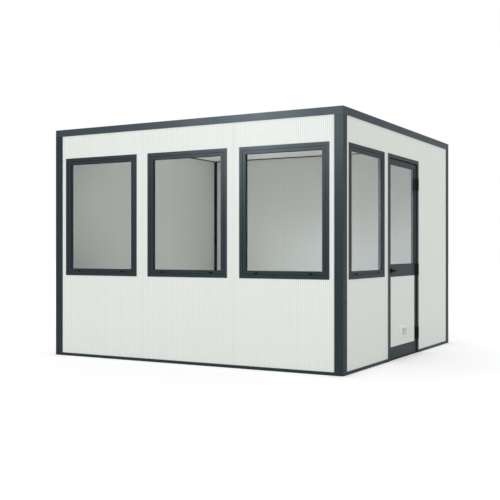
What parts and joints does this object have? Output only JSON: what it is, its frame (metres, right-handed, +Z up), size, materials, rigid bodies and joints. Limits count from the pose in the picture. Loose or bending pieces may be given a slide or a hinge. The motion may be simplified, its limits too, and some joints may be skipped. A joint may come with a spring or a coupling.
{
  "type": "security guard booth",
  "caption": "Flat-roofed panel cabin with dark corner posts and fascia, white ribbed walls, large glazed windows and a half-glazed hinged door with a lever handle.",
  "frame": {"origin": "on the ground, at the middle of the booth's plan over the corner posts", "axes": "+Z up, +X out of the door side, -Y out of the front with the row of windows"},
  "size_m": [3.435, 3.35, 2.46],
  "materials": {
    "frame_paint": "satin powder coat",
    "wall_sheet": "satin coil coat",
    "roof_sheet": "satin coil coat",
    "deck": "matt vinyl on board",
    "inner_trim": "satin powder coat",
    "glazing": "clear",
    "fittings": "satin black",
    "vent_plastic": "satin"
  },
  "bodies": {
    "booth": {"floor_deck": "deck", "front_base_rail": "frame_paint", "right_base_rail": "frame_paint", "back_base_rail": "frame_paint", "left_base_rail": "frame_paint", "front_left_post": "frame_paint", "front_right_post": "frame_paint", "back_right_post": "frame_paint", "back_left_post": "frame_paint", "front_left_panel": "wall_sheet", "front_middle_panel": "wall_sheet", "front_right_panel": "wall_sheet", "right_window_panel": "wall_sheet", "right_over_door_panel": "wall_sheet", "right_rear_panel": "wall_sheet", "back_right_panel": "wall_sheet", "back_middle_panel": "wall_sheet", "back_left_panel": "wall_sheet", "left_rear_panel": "wall_sheet", "left_middle_panel": "wall_sheet", "left_front_panel": "wall_sheet", "left_roof_panel": "roof_sheet", "middle_roof_panel": "roof_sheet", "right_roof_panel": "roof_sheet", "front_fascia": "frame_paint", "right_fascia": "frame_paint", "back_fascia": "frame_paint", "left_fascia": "frame_paint", "ceiling_trims": "inner_trim", "window_frames": "frame_paint", "window_inner_trims": "frame_paint", "window_sashes": "frame_paint", "window_panes": "glazing", "window_drain_caps": "fittings", "door_jambs": "frame_paint", "door_head": "frame_paint", "door_threshold": "frame_paint", "frame_hinge_halves": "fittings"},
    "door": {"door_leaf": "frame_paint", "door_glass": "glazing", "door_lower_panel": "wall_sheet", "door_vent": "vent_plastic", "door_rosettes": "fittings", "leaf_hinge_halves": "fittings"},
    "lever": {"door_levers": "fittings"}
  },
  "joints": [
    {"name": "door_swing", "type": "hinge", "parent": "booth", "child": "door", "pos_m": [1.706, 0.463, 0], "axis": [0, 0, 1], "range_deg": [0, 110]},
    {"name": "lever_turn", "type": "hinge", "parent": "door", "child": "lever", "pos_m": [1.7, -0.362, 0.933], "axis": [-1, 0, 0], "range_deg": [0, 40], "stiffness_Nm_per_rad": 1.2, "springref_deg": -28.65}
  ]
}
